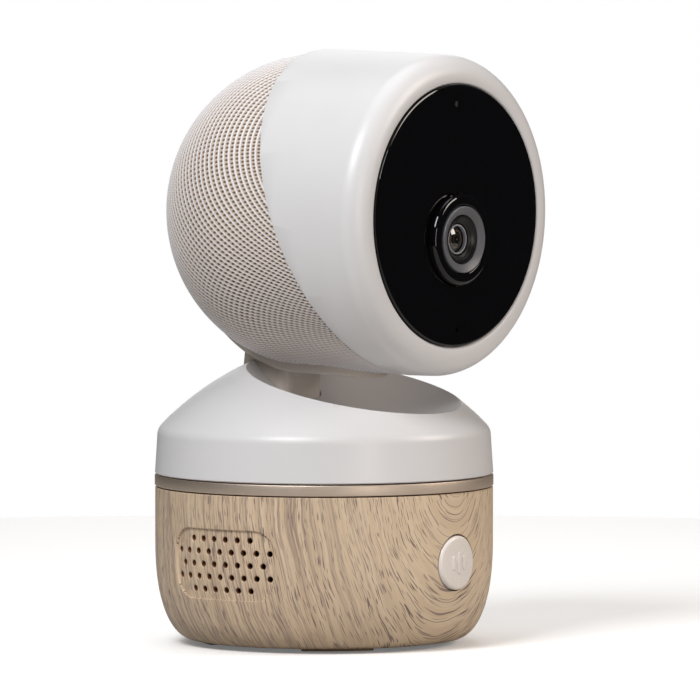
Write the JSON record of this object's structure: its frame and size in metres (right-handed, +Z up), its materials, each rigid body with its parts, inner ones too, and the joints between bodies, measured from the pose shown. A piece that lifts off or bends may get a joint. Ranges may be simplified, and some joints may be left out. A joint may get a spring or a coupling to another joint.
{
  "type": "baby monitor camera",
  "caption": "Round camera head on a short neck that pans and tilts over a drum base with a side speaker grille and a front call button.",
  "frame": {"origin": "on the pan axis, level with the soles of the feet", "axes": "+Z up along the pan axis, the lens and call button face -Y, the speaker grille faces -X"},
  "size_m": [0.0798, 0.0824, 0.1396],
  "materials": {
    "wood_film": "printed light-oak film on a moulded bowl, satin",
    "champagne_metal": "satin champagne anodised ring",
    "black_plastic": "moulded black housing plastic",
    "foot_rubber": "tan rubber",
    "steel": "plain steel",
    "circuit_board": "green solder-masked laminate",
    "speaker_paper": "pressed dark paper",
    "button_plastic": "gloss off-white",
    "acetal": "natural acetal",
    "pearl_plastic": "satin pearl off-white",
    "neck_plastic": "matt off-white",
    "knit_fabric": "off-white raised knit over a tan ground",
    "panel_gloss": "gloss black, passes infrared",
    "grey_ring": "satin grey",
    "bright_ring": "bright silver",
    "lens_glass": "coated lens glass",
    "motor_steel": "plated steel can"
  },
  "bodies": {
    "base": {"base_bowl": "wood_film", "trim_ring": "champagne_metal", "base_plate": "black_plastic", "base_chassis": "black_plastic", "power_socket": "black_plastic", "speaker_frame": "black_plastic", "foot_1": "foot_rubber", "foot_2": "foot_rubber", "foot_3": "foot_rubber", "foot_4": "foot_rubber", "base_screw_1": "steel", "base_screw_2": "steel", "base_screw_3": "steel", "base_screw_4": "steel", "ballast_weight": "steel", "speaker_magnet": "steel", "pan_retainer": "steel", "main_board": "circuit_board", "button_switch": "circuit_board", "speaker_cone": "speaker_paper", "pan_motor": "motor_steel"},
    "call_button": {"call_button": "button_plastic"},
    "pan_pinion": {"pan_pinion": "acetal"},
    "turret": {"collar": "pearl_plastic", "turntable": "black_plastic", "turret_gear": "acetal", "pan_bush": "acetal", "tilt_gear": "acetal", "neck": "neck_plastic", "tilt_axle": "steel", "neck_screw_1": "steel", "neck_screw_2": "steel", "collar_screw_1": "steel", "collar_screw_2": "steel"},
    "head": {"head_casing": "pearl_plastic", "rear_shell": "black_plastic", "lens_barrel": "black_plastic", "head_frame": "black_plastic", "fabric_cover": "knit_fabric", "slot_frame": "neck_plastic", "front_panel": "panel_gloss", "lens_hood": "panel_gloss", "lens_ring": "grey_ring", "lens_retainer": "bright_ring", "lens_glass": "lens_glass", "infrared_light_1": "lens_glass", "infrared_light_2": "lens_glass", "infrared_light_3": "lens_glass", "infrared_light_4": "lens_glass", "sensor_board": "circuit_board", "infrared_board": "circuit_board", "status_light": "acetal", "tilt_bush_left": "acetal", "tilt_bush_right": "acetal", "microphone": "steel", "head_screw_1": "steel", "head_screw_2": "steel", "head_screw_3": "steel", "tilt_motor": "motor_steel"},
    "tilt_pinion": {"tilt_pinion": "acetal"}
  },
  "joints": [
    {"name": "pan", "type": "hinge", "parent": "base", "child": "turret", "pos_m": [0, 0, 0.04], "axis": [0, 0, 1], "range_deg": [-170, 170]},
    {"name": "tilt", "type": "hinge", "parent": "turret", "child": "head", "pos_m": [0, 0, 0.10147], "axis": [1, 0, 0], "range_deg": [-24, 25]},
    {"name": "call_button_press", "type": "slide", "parent": "base", "child": "call_button", "axis": [0, 1, 0], "range_m": [0, 0.0008], "stiffness_N_per_m": 1500, "springref_m": -0.0005},
    {"name": "pan_pinion_spin", "type": "hinge", "parent": "base", "child": "pan_pinion", "pos_m": [0.02, 0, 0.036], "axis": [0, 0, 1], "range_deg": [-860, 860]},
    {"name": "tilt_pinion_spin", "type": "hinge", "parent": "head", "child": "tilt_pinion", "pos_m": [0.008, -0.009, 0.11587], "axis": [1, 0, 0], "range_deg": [-62, 62]}
  ],
  "couplings": [
    {"joint": "pan_pinion_spin", "follows": "pan", "ratio": 5},
    {"joint": "tilt_pinion_spin", "follows": "tilt", "ratio": 2.4}
  ]
}
